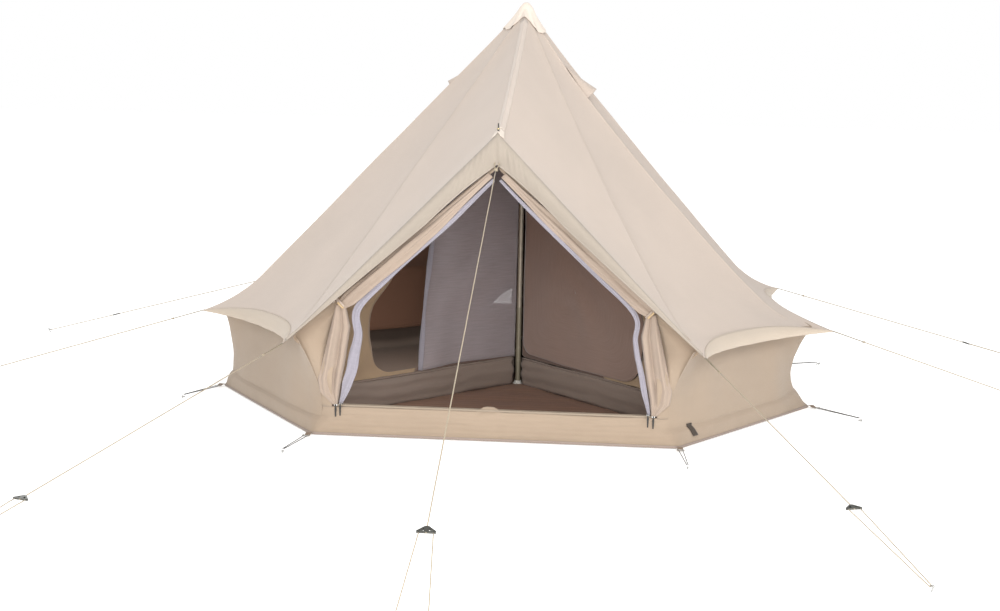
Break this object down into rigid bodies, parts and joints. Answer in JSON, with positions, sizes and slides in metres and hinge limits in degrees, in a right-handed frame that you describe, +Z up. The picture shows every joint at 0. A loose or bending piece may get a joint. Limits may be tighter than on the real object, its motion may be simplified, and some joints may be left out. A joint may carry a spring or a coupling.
{
  "type": "bell tent",
  "caption": "Eight-sided bell tent with a centre pole, a framed front door, two inner cabins, guy lines and pegs.",
  "frame": {"origin": "on the ground, on the centre pole's axis", "axes": "+Z up, door towards -Y, +X to the right for a person looking at the door from outside"},
  "size_m": [6.0102, 7.3742, 2.197],
  "materials": {
    "roof_cotton": "matte woven cotton canvas",
    "band_cotton": "matte woven cotton canvas",
    "wall_cotton": "matte woven cotton canvas",
    "cap_cotton": "matte coated canvas",
    "netting": "fine translucent mosquito net",
    "taupe_fabric": "coated woven polyester",
    "brown_fabric": "matte woven polyester",
    "groundsheet": "coated woven polyester",
    "zip_plastic": "matte",
    "zip_metal": "satin",
    "black_rubber": "matte",
    "wood": "oiled",
    "brass": "satin",
    "pole_steel": "satin",
    "pole_olive": "satin",
    "foot_plastic": "matte",
    "black_plastic": "matte",
    "lever_metal": "satin",
    "guy_cord": "braided cord",
    "runner_metal": "anodised satin",
    "peg_steel": "satin"
  },
  "bodies": {
    "tent": {"roof_canopy": "roof_cotton", "eave_band": "band_cotton", "side_walls": "wall_cotton", "door_gable": "wall_cotton", "door_sill": "wall_cotton", "door_canvas_left": "roof_cotton", "door_canvas_right": "roof_cotton", "door_net_left": "netting", "door_net_right": "netting", "zip_chains": "zip_plastic", "tie_back_straps": "roof_cotton", "apex_cap": "cap_cotton", "vent_hoods": "roof_cotton", "vent_nets": "netting", "peak_patch": "cap_cotton", "peak_eyelet": "brass", "groundsheet": "groundsheet", "pole_foot": "foot_plastic", "pole_lower": "pole_olive", "pole_middle": "pole_steel", "pole_clamp": "black_plastic", "frame_legs": "pole_steel", "frame_feet": "black_plastic", "cabin_fronts": "wall_cotton", "cabin_shells": "brown_fabric", "cabin_trays": "taupe_fabric", "cabin_door_left": "netting", "cabin_door_right": "netting", "window_net": "netting", "window_binding": "taupe_fabric", "guy_cords": "guy_cord", "door_guy_cord": "guy_cord", "shock_cords": "black_rubber", "pegs": "peg_steel", "corner_tabs": "taupe_fabric"},
    "roof_support": {"pole_upper": "pole_steel", "pole_spike": "pole_steel"},
    "door_frame": {"frame_head": "black_plastic", "frame_rafters": "pole_steel"},
    "clamp_lever": {"clamp_lever": "lever_metal"},
    "slider_left_outer": {"zip_slider_left_outer": "zip_metal"},
    "pull_left_outer": {"zip_pull_left_outer": "black_rubber"},
    "slider_left_inner": {"zip_slider_left_inner": "zip_metal"},
    "pull_left_inner": {"zip_pull_left_inner": "black_rubber"},
    "toggle_left": {"tie_toggle_left": "wood"},
    "slider_right_outer": {"zip_slider_right_outer": "zip_metal"},
    "pull_right_outer": {"zip_pull_right_outer": "black_rubber"},
    "slider_right_inner": {"zip_slider_right_inner": "zip_metal"},
    "pull_right_inner": {"zip_pull_right_inner": "black_rubber"},
    "toggle_right": {"tie_toggle_right": "wood"},
    "runner_front_left": {"runner_front_left": "runner_metal"},
    "runner_front_right": {"runner_front_right": "runner_metal"},
    "runner_side_left": {"runner_side_left": "runner_metal"},
    "runner_side_right": {"runner_side_right": "runner_metal"},
    "runner_flank_left": {"runner_flank_left": "runner_metal"},
    "runner_flank_right": {"runner_flank_right": "runner_metal"},
    "runner_rear_left": {"runner_rear_left": "runner_metal"},
    "runner_rear_right": {"runner_rear_right": "runner_metal"},
    "runner_door": {"runner_door": "runner_metal"},
    "window_cover": {"window_cover": "wall_cotton"}
  },
  "joints": [
    {"name": "pole_height", "type": "slide", "parent": "tent", "child": "roof_support", "axis": [0, 0, 1], "range_m": [-0.045, 0]},
    {"name": "door_frame_height", "type": "slide", "parent": "tent", "child": "door_frame", "axis": [0, 0, 1], "range_m": [-0.045, 0]},
    {"name": "clamp_lever_hinge", "type": "hinge", "parent": "tent", "child": "clamp_lever", "pos_m": [0.027, 0, 0.987], "axis": [0, -1, 0], "range_deg": [0, 140]},
    {"name": "zip_right_outer", "type": "slide", "parent": "tent", "child": "slider_right_outer", "axis": [-1, 0, 0], "range_m": [0, 0.56]},
    {"name": "pull_right_outer_swing", "type": "hinge", "parent": "slider_right_outer", "child": "pull_right_outer", "pos_m": [0.708, -1.469, 0.143], "axis": [-1, 0, 0], "range_deg": [0, 80]},
    {"name": "zip_right_inner", "type": "slide", "parent": "tent", "child": "slider_right_inner", "axis": [-1, 0, 0], "range_m": [0, 0.56]},
    {"name": "pull_right_inner_swing", "type": "hinge", "parent": "slider_right_inner", "child": "pull_right_inner", "pos_m": [0.684, -1.487, 0.152], "axis": [-1, 0, 0], "range_deg": [0, 80]},
    {"name": "zip_left_outer", "type": "slide", "parent": "tent", "child": "slider_left_outer", "axis": [1, 0, 0], "range_m": [0, 0.56]},
    {"name": "pull_left_outer_swing", "type": "hinge", "parent": "slider_left_outer", "child": "pull_left_outer", "pos_m": [-0.708, -1.469, 0.143], "axis": [-1, 0, 0], "range_deg": [0, 80]},
    {"name": "zip_left_inner", "type": "slide", "parent": "tent", "child": "slider_left_inner", "axis": [1, 0, 0], "range_m": [0, 0.56]},
    {"name": "pull_left_inner_swing", "type": "hinge", "parent": "slider_left_inner", "child": "pull_left_inner", "pos_m": [-0.684, -1.487, 0.152], "axis": [-1, 0, 0], "range_deg": [0, 80]},
    {"name": "toggle_right_turn", "type": "hinge", "parent": "tent", "child": "toggle_right", "pos_m": [0.68184, -1.51446, 0.59844], "axis": [0, -1, 0], "range_deg": [-60, 60]},
    {"name": "toggle_left_turn", "type": "hinge", "parent": "tent", "child": "toggle_left", "pos_m": [-0.68184, -1.51446, 0.59844], "axis": [0, -1, 0], "range_deg": [-60, 60]},
    {"name": "slide_runner_front_right", "type": "slide", "parent": "tent", "child": "runner_front_right", "axis": [-0.342, 0.9147, 0.2152], "range_m": [0, 0.25]},
    {"name": "slide_runner_side_right", "type": "slide", "parent": "tent", "child": "runner_side_right", "axis": [-0.9079, 0.3305, 0.2579], "range_m": [0, 0.25]},
    {"name": "slide_runner_flank_right", "type": "slide", "parent": "tent", "child": "runner_flank_right", "axis": [-0.9468, -0.184, 0.264], "range_m": [0, 0.25]},
    {"name": "slide_runner_rear_right", "type": "slide", "parent": "tent", "child": "runner_rear_right", "axis": [-0.3321, -0.9125, 0.2388], "range_m": [0, 0.25]},
    {"name": "slide_runner_rear_left", "type": "slide", "parent": "tent", "child": "runner_rear_left", "axis": [0.3321, -0.9125, 0.2388], "range_m": [0, 0.25]},
    {"name": "slide_runner_flank_left", "type": "slide", "parent": "tent", "child": "runner_flank_left", "axis": [0.9468, -0.184, 0.264], "range_m": [0, 0.25]},
    {"name": "slide_runner_side_left", "type": "slide", "parent": "tent", "child": "runner_side_left", "axis": [0.9079, 0.3305, 0.2579], "range_m": [0, 0.25]},
    {"name": "slide_runner_front_left", "type": "slide", "parent": "tent", "child": "runner_front_left", "axis": [0.3126, 0.9342, 0.1722], "range_m": [0, 0.25]},
    {"name": "slide_runner_door", "type": "slide", "parent": "tent", "child": "runner_door", "axis": [0, 0.9077, 0.4195], "range_m": [0, 0.35]},
    {"name": "window_cover_hinge", "type": "hinge", "parent": "tent", "child": "window_cover", "pos_m": [0, 1.48421, 0.21065], "axis": [1, 0, 0], "range_deg": [0, 165]}
  ],
  "couplings": [
    {"joint": "door_frame_height", "follows": "pole_height", "ratio": 0.957}
  ]
}
